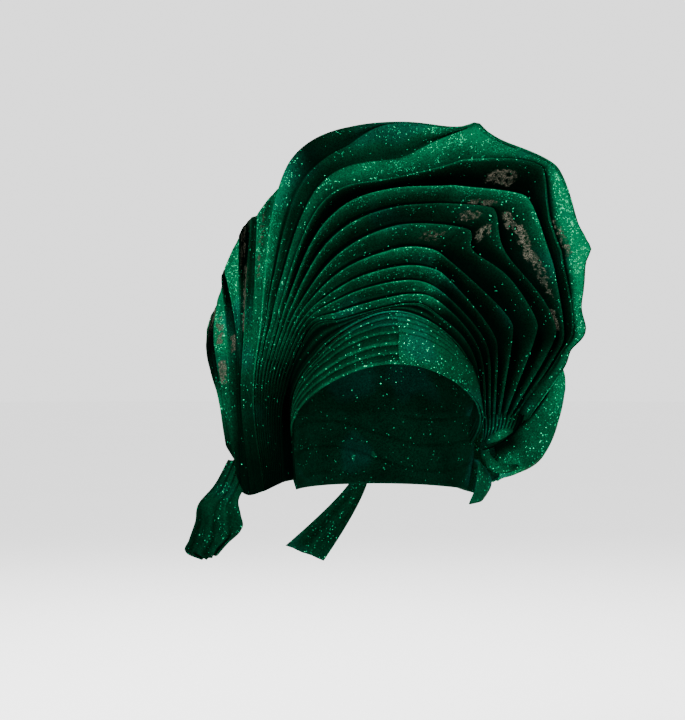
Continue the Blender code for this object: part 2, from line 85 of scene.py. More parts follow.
# %% Sockets that can be added up
class Value:
    """A number socket of a finish, with Python's operators."""

    def __init__(self, finish, socket):
        self.finish = finish
        self.socket = socket

    def maths(self, operation, *others):
        inputs = dict(enumerate((self,) + others))
        return self.finish.node("ShaderNodeMath", {"operation": operation}, inputs)

    def __add__(self, other):
        return self.maths("ADD", other)

    def __mul__(self, other):
        return self.maths("MULTIPLY", other)

    def __sub__(self, other):
        return self.maths("SUBTRACT", other)

    def __rsub__(self, other):
        return self.finish.node("ShaderNodeMath", {"operation": "SUBTRACT"}, {0: other, 1: self})

    def __gt__(self, other):
        return self.maths("GREATER_THAN", other)

    def __lt__(self, other):
        return self.maths("LESS_THAN", other)

    __radd__ = __add__
    __rmul__ = __mul__


class Finish:
    """A material under construction."""

    def __init__(self, name):
        self.material = bpy.data.materials.new(name)
        self.material.use_nodes = True
        self.tree = self.material.node_tree
        self.shader = self.tree.nodes["Principled BSDF"]

    def node(self, kind, settings=None, inputs=None, output=0):
        made = self.tree.nodes.new(kind)
        for key, value in (settings or {}).items():
            if key == "stops":
                ramp = made.color_ramp.elements
                while len(ramp) < len(value):
                    ramp.new(0.5)
                for stop, (position, colour) in zip(ramp, value, strict=True):
                    stop.position = position
                    stop.color = colour
            else:
                setattr(made, key, value)
        for key, value in (inputs or {}).items():
            self.feed(made.inputs[key], value)
        return Value(self, made.outputs[output])

    def feed(self, socket, value):
        if isinstance(value, Value):
            self.tree.links.new(value.socket, socket)
        else:
            socket.default_value = value

    def mix(self, share, low, high):
        """The colour low where share is 0 and high where it is 1."""
        settings = {"data_type": "RGBA"}
        return self.node("ShaderNodeMix", settings, {0: share, 6: low, 7: high}, output=2)

    def set(self, **values):
        for key, value in values.items():
            self.feed(self.shader.inputs[key.replace("_", " ")], value)


# %% [markdown]
# ## The cloth's finish
# The cloth is emerald with a metallic thread in it. Its colour carries painted light: single threads
# are painted as bright glints, more of them on the ridges, and the folds are painted nearly black with
# shade. Each finish reads the piece's own UV map, which holds metres across the flat cloth, so the
# threads follow the folds. Vertex attributes say how much light or shade to paint on the cloth, and
# where its woven border comes out.

# %% Lurex cloth
thread_pitch = 0.0009
glitter_pitch = 0.00085
motif_pitch = 0.0044
emerald = (0.0, 0.062, 0.024, 1)
# the painted shade colour of the deep folds
painted_shade_green = (0.0, 0.0009, 0.0005, 1)
teal = (0.0, 0.042, 0.036, 1)
glint_green = (0.015, 0.460, 0.200, 1)
border_ground = (0.016, 0.022, 0.015, 1)
border_silver = (0.082, 0.070, 0.053, 1)


def lurex(name, ground=emerald, glitter_share=0.34):
    cloth = Finish(name)
    flat = cloth.node("ShaderNodeTexCoord", output="UV")
    place = cloth.node("ShaderNodeTexCoord", output="Object")
    lit = cloth.node("ShaderNodeAttribute", {"attribute_name": "lit"}, output="Fac")
    border = cloth.node("ShaderNodeAttribute", {"attribute_name": "border"}, output="Fac")

    # slow changes of colour over the cloth, painted shade where it is folded away from the light (the
    # lit attribute), and a grain of single threads in it
    cloud = cloth.node("ShaderNodeTexNoise", {}, {"Vector": place, "Scale": 34, "Detail": 3})
    painted_light_share = (lit * lit.maths("ADD", 0.35) * 0.80) * (cloud * 1.5 + 0.25)
    cells = {"Vector": place, "Scale": 1 / glitter_pitch, "Randomness": 1.0}
    chance = cloth.node("ShaderNodeTexVoronoi", {}, cells, output="Color")
    picked = cloth.node("ShaderNodeSeparateColor", {}, {0: chance}, output=0)
    strength = cloth.node("ShaderNodeSeparateColor", {}, {0: chance}, output=1)
    painted_light_share = painted_light_share * (strength * 0.95 + 0.50)
    base = cloth.mix(painted_light_share.maths("MINIMUM", 1), painted_shade_green, ground)
    # painted teal glints: random patches of teal, shown only as far as the painted light goes
    bluish = cloth.node("ShaderNodeTexNoise", {}, {"Vector": place, "Scale": 19, "Detail": 1})
    blue_share = ((bluish - 0.56) * 6).maths("MAXIMUM", 0).maths("MINIMUM", 0.5)
    base = cloth.mix(blue_share * painted_light_share, base, teal)

    # painted highlight: where the lit attribute runs above 1.2 the colour turns towards bright green, a
    # painted satin sheen
    painted_sheen = ((lit - 1.2).maths("MAXIMUM", 0) * 1.1).maths("MINIMUM", 0.5)
    base = cloth.mix(painted_sheen * (strength * 0.6 + 0.4), base, glint_green)

    # glitter: some cells of the grain are metallic threads, painted bright as glints of light, and most
    # of those lie where the painted light is strong
    dense = cloth.node("ShaderNodeTexNoise", {}, {"Vector": place, "Scale": 75, "Detail": 2})
    share = (lit * lit + 0.015) * ((dense - 0.34).maths("MAXIMUM", 0) * 2.6) * glitter_share
    thread_glints = (picked > 1 - share) * (strength * strength * 0.85 + 0.15)
    base = cloth.mix(thread_glints, base, glint_green)

    # the woven border: rings and leaves of pale thread on a dark ground
    drift = cloth.node("ShaderNodeTexNoise", {}, {"Vector": place, "Scale": 0.8 / motif_pitch}, output=1)
    bent = cloth.node("ShaderNodeMix", {"data_type": "VECTOR"}, {0: 0.002, 4: place, 5: drift}, output=1)
    motif = {"Vector": bent, "Scale": 1 / motif_pitch, "Randomness": 0.8}
    rings = cloth.node("ShaderNodeTexVoronoi", {}, motif, output="Distance")
    scroll = (rings * 21).maths("SINE") > 0.15
    flecks = cloth.node("ShaderNodeTexNoise", {}, {"Vector": flat, "Scale": 900, "Detail": 1})
    pale = cloth.mix(((flecks - 0.3) * 2.4).maths("MAXIMUM", 0.15), border_ground, border_silver)
    frayed = cloth.node("ShaderNodeTexNoise", {}, {"Vector": place, "Scale": 280, "Detail": 3})
    ragged = border * (frayed * 3.2 - 0.9) - 0.35
    woven = (ragged * 2.5).maths("MAXIMUM", 0).maths("MINIMUM", 1)
    base = cloth.mix(woven * 0.7, base, border_ground)
    base = cloth.mix(woven * scroll * (flecks > 0.44), base, pale)

    # threads, fine creases and the tilt of the glitter
    threads = cloth.node("ShaderNodeSeparateXYZ", {}, {0: flat}, output=0)
    picks = cloth.node("ShaderNodeSeparateXYZ", {}, {0: flat}, output=1)
    pitch = 2 * pi / thread_pitch
    weave = (threads * pitch).maths("SINE") * (picks * pitch).maths("SINE")
    stretched = cloth.node("ShaderNodeMapping", {}, {"Vector": flat, "Scale": (150, 34, 1)})
    creases = cloth.node("ShaderNodeTexNoise", {}, {"Vector": stretched, "Scale": 1, "Detail": 4})
    height = weave * 0.05 + creases * 0.9 + strength * 0.3 + scroll * woven * 0.2
    bump = cloth.node(
        "ShaderNodeBump", {}, {"Height": height, "Strength": 0.5, "Distance": 0.0009}, output="Normal"
    )
    cloth.set(
        Base_Color=base,
        Roughness=0.50 - thread_glints * 0.25 + woven * 0.10,
        Metallic=0.10 + thread_glints * 0.7 - woven * 0.05,
        IOR=1.02,
        Specular_Tint=(0.03, 0.62, 0.30, 1),
        Normal=bump,
    )
    return cloth.material


# the shaded copy is the same cloth with a darker ground and fewer glints: painted shade for the pieces
# that lie in shadow, the crown, the nape, the fold over the ear and the tie
bright_cloth = lurex("bright_lurex")
shaded_cloth = lurex("shaded_lurex", ground=(0.0, 0.030, 0.013, 1), glitter_share=0.06)
print("finishes:", [material.name for material in bpy.data.materials if "lurex" in material.name])

# %% [markdown]
# ## From a flat grid to folded cloth
# Every stretch of cloth starts flat, as `create_grid` makes it, with a UV map in metres. A function
# says where the point (u, v) of the flat cloth lies once it is folded. Solidify then gives the cloth
# its wall, on the inner side, so that the outer face stays where it was put.

# %% Folding a flat grid
cloth_wall = 0.0012


def blend(a, b, share):
    return a + (b - a) * share


def curve_through(points, stations, share, tension=None):
    """The point at this share of a smooth curve that passes each point at its station. tension is
    0 for a smooth bend and 1 for a sharp one, one value for each point."""
    last = len(points) - 2
    i = 0
    while i < last and share > stations[i + 1]:
        i += 1

    def slope(k):
        if k == 0:
            return (points[1] - points[0]) / (stations[1] - stations[0])
        if k == len(points) - 1:
            return (points[k] - points[k - 1]) / (stations[k] - stations[k - 1])
        before = stations[k] - stations[k - 1]
        after = stations[k + 1] - stations[k]
        rise_before = (points[k] - points[k - 1]) / before
        rise_after = (points[k + 1] - points[k]) / after
        smooth = (rise_before * after + rise_after * before) / (before + after)
        return smooth * (1 - tension[k]) if tension else smooth

    span = stations[i + 1] - stations[i]
    t = (share - stations[i]) / span
    start, end = slope(i) * span, slope(i + 1) * span
    a = points[i] * (2 * t**3 - 3 * t**2 + 1) + start * (t**3 - 2 * t**2 + t)
    return a + points[i + 1] * (3 * t**2 - 2 * t**3) + end * (t**3 - t**2)


def ripple(point, size, height, seed=0.0):
    """A slow random wave: about size metres long and height metres high."""
    return noise.noise(point / size + Vector((seed, seed * 0.7, -seed))) * height


# marks gives each point of the cloth how much light or shade to paint on it, and its share of the woven
# border; without marks the cloth gets a middle level of painted light
def folded_cloth(
    name, columns, rows, fold, nodes, finish, closed=False, turned=False,
    marks=None, wall=cloth_wall,
):
    bm = bmesh.new()
    flat = bm.loops.layers.uv.new("UVMap")
    bmesh.ops.create_grid(bm, x_segments=columns, y_segments=rows, size=0.5, calc_uvs=True)
    bmesh.ops.translate(bm, verts=bm.verts, vec=(0.5, 0.5, 0))
    lit = bm.verts.layers.float.new("lit")
    border = bm.verts.layers.float.new("border")
    middle = []
    for vertex in bm.verts:
        u, v = vertex.co.xy
        if round(v * rows) == rows // 2:
            middle.append((u, vertex))
        vertex[lit], vertex[border] = marks(u, v) if marks else (0.5, 0.0)
        vertex.co = fold(u, v)
    middle = [vertex.co for _, vertex in sorted(middle, key=lambda pair: pair[0])]
    length = sum((b - a).length for a, b in zip(middle, middle[1:], strict=False))
    length = max(length, 0.01)
    area = sum(face.calc_area() for face in bm.faces)
    width = area / length
    for face in bm.faces:
        face.smooth = True
        for loop in face.loops:
            loop[flat].uv.x *= length
            loop[flat].uv.y *= width
    if closed:
        bmesh.ops.remove_doubles(bm, verts=bm.verts, dist=0.00004)
    if turned:
        bmesh.ops.reverse_faces(bm, faces=bm.faces)
    mesh = bpy.data.meshes.new(name)
    bm.to_mesh(mesh)
    bm.free()
    piece = bpy.data.objects.new(name, mesh)
    bpy.context.collection.objects.link(piece)
    mesh.materials.append(finish)
    thick = piece.modifiers.new("wall", "SOLIDIFY")
    thick.thickness = wall
    thick.offset = -1
    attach(piece, "root")
    if nodes:
        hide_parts(*nodes)
    print(f"{name}: {columns * rows} faces, cut {width:.3f} m by {length:.3f} m")
    return piece


# %% [markdown]
# ## The head's hollow and the forehead band
# The wrap follows an egg-shaped hollow. The band lies on it across the forehead, leans back, and is
# folded into narrow steps, each one covering the top of the one below.

# %% Sizes of the head and the band
head_half_width = 0.0755
head_half_depth = 0.0955
head_rise = 0.1065
head_roundness = 2.6
nape_taper = 0.08
wall = 0.0024
fan_wall = 0.0030
clearance = 0.0005
rim_clearance = 0.0016
band_front_up = 0.0625
band_ear_drop = 0.040
band_sharpness = 1.15
band_turn = radians(-8)
band_half_sweep = radians(105)
band_height = 0.0440
band_end_height = 0.0220
band_lean = radians(24)
band_side_lean = radians(7)
band_step = 0.0022
nape_drop = 0.0460
nape_top = 0.0440


def head_share(z):
    if z < 0:
        return 1 - nape_taper * (z / nape_drop) ** 2
    return sqrt(max(0.0, 1 - (z / head_rise) ** head_roundness))


def around_head(angle, z, extra=0.0):
    share = head_share(z)
    return Vector((
        (head_half_width * share + extra) * sin(angle),
        -(head_half_depth * share + extra) * cos(angle),
        z,
    ))


def outward(angle):
    return Vector((sin(angle), -cos(angle), 0))


def band_low(off):
    share = ((1 + cos(off)) / 2) ** band_sharpness
    return -band_ear_drop + (band_front_up + band_ear_drop) * share


def band_point(off, share, extra=0.0):
    angle = band_turn + off
    low = band_low(off)
    ends = (1 - cos(off)) / (1 - cos(band_half_sweep))
    height = blend(band_height, band_end_height, ends**1.5)
    lean = blend(band_lean, band_side_lean, ends)
    start = around_head(angle, low, clearance)
    climb = Vector((0, 0, cos(lean))) - outward(angle) * sin(lean)
    at = start + climb * height * share
    on_head = around_head(angle, at.z, clearance)
    if on_head.xy.length > at.xy.length:
        at = on_head
    return at + outward(angle) * extra


# %% Forehead band
# where each step's lower edge lies, as a share of the band's height
STEP_EDGES = (0.0, 0.19, 0.37, 0.60, 0.76, 0.89, 1.0)
PAINTED_LIT_STEPS = (0, 2)
step_rows = 10


def step_height(t):
    """How proud the cloth is along one step: a round lower lip, then a slope down to the next."""
    lip = min(1.0, t / 0.10)
    return (0.35 + 0.65 * sin(lip * pi / 2)) * (1 - 0.92 * t**1.3)


def band_rows(v):
    steps = len(STEP_EDGES) - 1
    step = min(steps - 1, int(v * steps))
    return step, v * steps - step


def band_fold(u, v):
    step, t = band_rows(v)
    off = blend(-band_half_sweep, band_half_sweep, u)
    share = blend(STEP_EDGES[step], STEP_EDGES[step + 1], t)
    share -= 0.030 * (1 - t) ** 6
    fade = 1 - (off / band_half_sweep) ** 4
    wander = ripple(Vector((off * 0.08, step * 0.5, 0)), 0.02, 0.045)
    share = max(-0.02, min(1.0, share + wander * sin(pi * share) * 0.6))
    proud = wall - cloth_wall + band_step * fade * step_height(t)
    point = band_point(off, share, proud)
    return point + outward(band_turn + off) * ripple(point, 0.011, 0.0004)


# painted light: each step's lower lip is painted brighter, the steps listed above most, and the band is
# painted darker towards its ends and up each step
def band_marks(u, v):
    step, t = band_rows(v)
    lip = max(0.0, 1 - ((t - 0.10) / 0.16) ** 2)
    side = abs(blend(-band_half_sweep, band_half_sweep, u)) / band_half_sweep
    painted_step_light = 1.0 if step in PAINTED_LIT_STEPS else 0.62
    return (0.33 + 0.42 * lip * painted_step_light) * (1 - t) ** 0.35 * (1 - 0.55 * side), 0.0


forehead_band = folded_cloth(
    "forehead_band_cloth", 190, 6 * step_rows, band_fold, ["forehead_band"], bright_cloth,
    marks=band_marks,
)

# %% [markdown]
# The free end of the band is laid over its steps from the middle to the wearer's left temple. Its
# upright edge shows in the middle of the forehead, and a few fine pleats run along its top.

# %% Lapped end of the band
lap_sweep = (radians(2.7), radians(98))
lap_stand_off = 0.0013
LAP_PLEATS = (0.60, 0.72, 0.83, 0.93)


def lap_fold(u, v):
    off = blend(lap_sweep[0], lap_sweep[1], u)
    share = blend(0.012, 0.985, v)
    under = 0.0
    for edge in LAP_PLEATS:
        if share > edge:
            run = min(1.0, (share - edge) / 0.10)
            under += (1 - run) * 0.0010
    fade = 1 - (off / band_half_sweep) ** 4
    opened = min(1.0, u * 3)
    proud = wall + band_step * 0.75 * fade + lap_stand_off * (1 - 0.4 * u) - under * opened
    point = band_point(off - 0.010 * sin(v * 7), share, proud)
    return point + outward(band_turn + off) * ripple(point, 0.013, 0.0007, 4.0)


# painted light: the lap is painted darker towards the temple, with a thin line of painted shade along
# each pleat
def lap_marks(u, v):
    side = blend(lap_sweep[0], lap_sweep[1], u) / band_half_sweep
    pleat = min((abs(v - edge) for edge in LAP_PLEATS), default=1.0)
    return (0.53 - 0.24 * side) * (0.45 + 0.55 * min(1.0, pleat / 0.03)), 0.0


band_lap = folded_cloth(
    "forehead_band_lap", 110, 56, lap_fold, [], bright_cloth,
    marks=lap_marks, wall=0.0008,
)

# %% [markdown]
# ## The pleated fan
# Twelve folds stand one behind the other over the band. A table gives each fold's crest at a few
# stations, as shares of the fan's reach, height and sweep, and a smooth curve joins them. On the
# wearer's left the cloth was creased before it was tied, so there the crests turn sharp corners.

# %% Fan sizes and crests
fan_reach = 0.167
fan_height = 0.259
fan_sweep = 0.054
pleat_depth = 0.013
band_tuck = 0.0012
FOLD_COLUMNS = (
    "low_x", "left_x", "left_z", "left_y", "crown_z", "crown_y",
    "corner_x", "corner_z", "corner_y", "elbow_x", "elbow_z", "elbow_y", "hollow",
)
FOLDS = (
    (-0.392, -0.246, 0.378, -0.72, 0.425, -0.96, 0.20, 0.392, -0.88, 0.425, 0.240, -0.52, 0.40),
    (-0.41, -0.240, 0.405, -0.59, 0.452, -0.78, 0.22, 0.432, -0.74, 0.455, 0.255, -0.50, 0.45),
    (-0.43, -0.234, 0.448, -0.48, 0.498, -0.61, 0.23, 0.471, -0.59, 0.490, 0.280, -0.48, 0.70),
    (-0.45, -0.228, 0.486, -0.37, 0.544, -0.50, 0.25, 0.525, -0.50, 0.535, 0.305, -0.46, 0.75),
    (-0.47, -0.246, 0.525, -0.26, 0.602, -0.41, 0.24, 0.591, -0.44, 0.62, 0.355, -0.44, 0.90),
    (-0.49, -0.257, 0.575, -0.11, 0.676, -0.22, 0.40, 0.664, -0.37, 0.75, 0.356, -0.41, 1.00),
    (-0.51, -0.281, 0.629, -0.04, 0.737, -0.07, 0.54, 0.734, -0.26, 0.850, 0.332, -0.37, 1.00),
    (-0.53, -0.299, 0.687, 0.04, 0.799, 0.00, 0.71, 0.775, -0.22, 0.888, 0.312, -0.37, 0.95),
    (-0.55, -0.317, 0.749, 0.04, 0.830, -0.11, 0.790, 0.866, -0.33, 0.930, 0.330, -0.44, 0.95),
    (-0.575, -0.335, 0.800, 0.04, 0.885, -0.30, 0.800, 0.864, -0.41, 0.968, 0.336, -0.48, 0.12),
    (-0.595, -0.390, 0.835, 0.04, 0.948, -0.44, 0.816, 0.868, -0.48, 0.985, 0.340, -0.48, 0.35),
    (-0.615, -0.464, 0.893, 0.07, 0.996, -0.56, 0.832, 0.868, -0.52, 1.000, 0.342, -0.41, 0.40),
)
STATIONS = (0.0, 0.13, 0.24, 0.40, 0.54, 0.70, 0.88, 1.0)
crown_x = 0.04
low_z = 0.33
low_y = (0.02, 0.31)
waist_x = (-0.503, -0.640)
waist_z = 0.12
waist_y = (0.20, 0.46)
foot_x = (-0.487, -0.570)
foot_z = (-0.150, -0.182)
foot_y = (0.56, 0.80)
right_foot_x = (0.492, 0.740)
right_foot_z = (0.035, 0.050)
right_foot_y = (-0.10, 0.06)
tuck_stretch = (0.13, 1.0)
tuck_sweep = (radians(-92), radians(100))
tuck_flare_from = radians(55)
tuck_flare = (0.0010, 0.0008)
tuck_sink = 0.0050
ear_angle = radians(-110)
ear_drop = 0.037
ear_stand_off = 0.0040
DENT_COLUMNS = ("along", "depth", "length")
DENTS = (
    (0.608, -0.40, 0.016),
    (0.606, -0.32, 0.006),
    (0.790, -0.42, 0.014),
    (0.796, -0.30, 0.005),
    (0.845, 0.45, 0.022),
    (0.912, 0.35, 0.014),
)
dented_from = 5
# single crests that bend aside: how far across and up, in metres, and over what share of the crest
BEND_COLUMNS = ("fold", "along", "across", "rise", "length")
BENDS = (
    (5, 0.757, -0.0130, 0.000, 0.024),
    (6, 0.775, -0.0150, 0.000, 0.040),
    (8, 0.630, 0.0000, 0.006, 0.050),
    (8, 0.770, -0.0110, 0.000, 0.050),
    (8, 0.970, -0.0050, 0.000, 0.025),
    (9, 0.970, -0.0060, 0.000, 0.025),
    (10, 0.970, -0.0065, 0.000, 0.025),
)
# crests that run out at the rim, and the stretch over which they reach it
MEETING_COLUMNS = ("fold", "start", "end")
MEETINGS = ((9, 0.54, 0.61), (10, 0.46, 0.535))
met_share = 0.96


def span(pair, index):
    return blend(pair[0], pair[1], index / (len(FOLDS) - 1))


def fold_stations(index):
    fold = dict(zip(FOLD_COLUMNS, FOLDS[index], strict=True))

    def point(x, y, z):
        return Vector((x * fan_reach, y * fan_sweep, z * fan_height))

    return (
        point(span(foot_x, index), span(foot_y, index), span(foot_z, index)),
        point(span(waist_x, index), span(waist_y, index), waist_z),
        point(fold["low_x"], span(low_y, index), low_z),
        point(fold["left_x"], fold["left_y"], fold["left_z"]),
        point(crown_x, fold["crown_y"], fold["crown_z"]),
        point(fold["corner_x"], fold["corner_y"], fold["corner_z"]),
        point(fold["elbow_x"], fold["elbow_y"], fold["elbow_z"]),
        point(span(right_foot_x, index), span(right_foot_y, index), span(right_foot_z, index)),
    )


def dent(share):
    total = 0.0
    for row in DENTS:
        column = dict(zip(DENT_COLUMNS, row, strict=True))
        spread = ((share - column["along"]) / column["length"]) ** 2
        total += column["depth"] * pleat_depth * exp(-spread)
    return total


def tuck_point(share):
    start, end = tuck_stretch
    t = min(1.0, max(0.0, (share - start) / (end - start)))
    off = blend(tuck_sweep[0], tuck_sweep[1], t)
    flare = tuck_flare[0] if off < 0 else tuck_flare[1]
    side = max(0.0, (abs(off) - tuck_flare_from) / (tuck_sweep[1] - tuck_flare_from))
    over_wrap = wall / 2 + 2 * clearance + fan_wall * max(0.0, cos(band_turn + off))
    near_wrap = min(1.0, abs(off) / tuck_flare_from)
    at = band_point(off, 1.0, wall / 2 + over_wrap * near_wrap + flare * side)
    at.z += band_tuck - tuck_sink * side**2
    if share >= start:
        return at
    ear = around_head(ear_angle, -ear_drop, ear_stand_off)
    return ear.lerp(at, share / start)


# how sharp each crest's corner and elbow are, from 0 to 1
CORNER_SHARPNESS = (0.0, 0.1, 0.3, 0.5, 0.75, 0.75, 0.7, 0.6, 0.5, 0.45, 0.45, 0.45)
ELBOW_SHARPNESS = (0.0, 0.1, 0.3, 0.5, 0.6, 0.55, 0.5, 0.45, 0.45, 0.45, 0.45, 0.45)


def crest(index, share):
    if index < 0:
        return tuck_point(share)
    tension = (0, 0, 0, 0, 0, CORNER_SHARPNESS[index], ELBOW_SHARPNESS[index], 0)
    at = curve_through(fold_stations(index), STATIONS, share, tension)
    if index > dented_from:
        middle = Vector((crown_x * fan_reach, at.y, low_z * fan_height))
        felt = (index - dented_from) / (len(FOLDS) - 1 - dented_from)
        at -= (at - middle).normalized() * dent(share) * felt**2
    for row in BENDS:
        bend = dict(zip(BEND_COLUMNS, row, strict=True))
        if bend["fold"] == index:
            near = exp(-((share - bend["along"]) / bend["length"]) ** 2)
            at += Vector((bend["across"], 0, bend["rise"])) * near
    for row in MEETINGS:
        meeting = dict(zip(MEETING_COLUMNS, row, strict=True))
        if meeting["fold"] == index and share > meeting["start"]:
            t = min(1.0, (share - meeting["start"]) / (meeting["end"] - meeting["start"]))
            at = at.lerp(crest(len(FOLDS) - 1, share), met_share * t * t * (3 - 2 * t))
    return at


# %% [markdown]
# Between two crests the cloth drops steeply behind the lower one, then comes slowly forward to the
# next. That hides the bottom of each fold, and makes the thin bright ridge with a dark gap above it
# that pleated gele cloth has; painted light and shade on the cloth strengthen both.

# %% Pleated fan
# the cloth's path across one fold: how far along it is, and how deep, as shares
ACROSS = (
    (0.000, 0.00), (0.035, 0.34), (0.075, 0.68), (0.140, 0.93), (0.240, 1.00), (0.400, 0.86),
    (0.580, 0.60), (0.740, 0.34), (0.870, 0.12), (0.945, 0.01), (0.985, -0.03), (1.000, 0.00),
)
fan_columns = 250
fan_fold_rows = len(ACROSS) - 1
fan_rows = fan_fold_rows * len(FOLDS)
depth_gain = 1.25
deepest_share = 0.95
crests = {}

# patches where the woven border comes out: the fold it lies on, the stretch along the crest and
# the stretch across the fold, all as shares, and how strong it is
BORDER_COLUMNS = ("fold", "start", "end", "low", "high", "strength")
BORDER = (
    (8, 0.638, 0.668, 0.25, 0.65, 1.30),
    (7, 0.640, 0.682, 0.15, 0.50, 1.10),
    (7, 0.722, 0.750, 0.28, 0.50, 1.20),
    (7, 0.748, 0.790, 0.52, 0.68, 1.40),
    (7, 0.782, 0.824, 0.58, 0.74, 1.30),
    (7, 0.838, 0.866, 0.05, 0.60, 1.40),
    (6, 0.645, 0.690, 0.35, 0.80, 0.85),
    (6, 0.725, 0.750, 0.30, 0.80, 0.90),
    (5, 0.600, 0.650, 0.35, 0.75, 0.75),
    (9, 0.770, 0.800, 0.10, 0.40, 0.90),
)
border_fade = (0.016, 0.14)


def crest_at(index, share):
    key = (index, round(share * fan_columns))
    if key not in crests:
        crests[key] = crest(index, share)
    return crests[key]


def fan_fold(u, v):
    row = round(v * fan_rows)
    fold, step = divmod(row, fan_fold_rows)
    inner = crest_at(fold - 1, u)
    if step == 0:
        if fold == len(FOLDS):
            return crest_at(fold - 1, u).copy()
        return inner + Vector((0, ripple(inner, 0.030, 0.0008), 0))
    outer = crest_at(fold, u)
    along, down = ACROSS[step]
    pitch = Vector((outer.x - inner.x, 0, outer.z - inner.z)).length
    depth = min(FOLDS[fold][-1] * pleat_depth * depth_gain, deepest_share * pitch)
    point = inner.lerp(outer, along)
    loose = min(1.0, pitch / 0.016)
    wave = ripple(Vector((u * 0.30, fold * 0.07, along * 0.010)), 0.011, 0.0026 * loose)
    slow = ripple(point, 0.045, 0.0030 * loose, 2.0)
    return point + Vector((0, depth * down + (wave + slow) * sin(pi * along), 0))


# how much light or shade is painted on each row of a fold, where the fold is a soft roll, a thin
# edge or a broad face; on the last fold near the temple one row paints a highlight
ROLL_LIGHT = (1.0, 0.02, 0.0, 0.0, 0.20, 0.44, 0.62, 0.72, 0.80, 0.92, 1.0)
SHEEN_LIGHT = (0.2, 0.20, 0.25, 0.45, 0.70, 0.85, 0.90, 0.90, 0.90, 0.80, 0.5)
LEFT_LIGHT = (1.0, 0.02, 0.0, 0.08, 0.38, 0.58, 0.70, 0.78, 0.84, 0.92, 1.0)
EDGE_LIGHT = (0.8, 0.00, 0.0, 0.0, 0.03, 0.10, 0.20, 0.34, 0.52, 0.74, 0.9)
BROAD_LIGHT = (0.8, 0.45, 0.3, 0.3, 0.36, 0.55, 0.76, 0.92, 1.00, 0.96, 0.9)
LIP_LIGHT = (1.0, 0.00, 0.0, 0.0, 0.02, 0.06, 0.12, 0.20, 0.34, 0.60, 0.8)
ABOVE_LIP_LIGHT = (0.7, 0.35, 0.4, 0.5, 0.62, 0.80, 0.95, 1.00, 1.00, 0.96, 0.9)
GROOVE_LIGHT = (0.8, 0.03, 0.0, 0.05, 0.35, 0.72, 0.92, 1.00, 1.00, 0.96, 0.9)
FIRST_LIGHT = (1.0, 0.02, 0.35, 0.02, 0.02, 0.45, 0.04, 0.02, 0.60, 0.10, 1.0)
LIGHT_STATIONS = (0.0, 0.13, 0.24, 0.36, 0.42, 0.54, 0.62, 0.70, 0.75, 0.90, 0.972, 1.0)
# how much light is painted on each fold at those stations, from the gather to the temple
FOLD_LIGHT = (
    (0.04, 0.08, 0.26, 0.50, 0.60, 0.85, 0.80, 0.75, 0.40, 0.20, 0.60, 0.35),
    (0.04, 0.10, 0.40, 0.62, 0.70, 0.92, 0.92, 0.90, 0.42, 0.22, 0.60, 0.35),
    (0.04, 0.12, 0.46, 0.66, 0.74, 0.95, 0.95, 0.95, 0.42, 0.22, 0.60, 0.35),
    (0.04, 0.14, 0.52, 0.68, 0.76, 0.95, 0.98, 1.00, 0.42, 0.25, 0.60, 0.35),
    (0.04, 0.16, 0.58, 0.70, 0.75, 0.90, 0.95, 1.00, 0.42, 0.25, 0.60, 0.35),
    (0.04, 0.18, 0.62, 0.72, 0.70, 0.55, 0.45, 0.38, 0.48, 0.26, 0.60, 0.35),
    (0.04, 0.20, 0.66, 0.72, 0.66, 0.45, 0.40, 0.38, 0.48, 0.26, 0.60, 0.35),
    (0.04, 0.22, 0.68, 0.70, 0.66, 0.95, 1.00, 1.00, 0.75, 0.28, 0.60, 0.35),
    (0.04, 0.24, 0.70, 0.68, 0.55, 0.75, 0.85, 0.70, 0.70, 0.30, 0.22, 0.28),
    (0.05, 0.26, 0.72, 0.52, 0.50, 0.80, 1.05, 1.05, 1.05, 0.70, 0.30, 0.30),
    (0.06, 0.28, 0.70, 0.36, 0.32, 0.60, 0.95, 1.00, 0.95, 0.60, 1.30, 0.30),
    (0.10, 0.45, 1.10, 1.15, 0.10, 0.62, 0.95, 1.05, 1.10, 0.60, 2.30, 0.40),
)
first_broad_fold = 8
left_stretch = (0.36, 0.52)
sheen_stretch = (0.91, 0.95)
broad_stretch = (0.30, 0.44)
edge_stretch = (0.66, 0.74)
groove_fold = 9
groove_stretch = (0.65, 0.72)


def between(value, pair):
    return min(1.0, max(0.0, (value - pair[0]) / (pair[1] - pair[0])))


def read_row(values, stations, share):
    for i in range(len(stations) - 1):
        if share <= stations[i + 1]:
            return blend(values[i], values[i + 1], between(share, stations[i:i + 2]))
    return values[-1]


def border_shown(patches, fold, u, along):
    shown = 0.0
    for patch in patches:
        place = dict(zip(BORDER_COLUMNS, patch, strict=True))
        if place["fold"] == fold:
            inside = min(
                (u - place["start"]) / border_fade[0], (place["end"] - u) / border_fade[0],
                (along - place["low"]) / border_fade[1], (place["high"] - along) / border_fade[1],
            )
            shown = max(shown, place["strength"] * min(1.0, max(0.0, inside + 0.5)))
    return shown


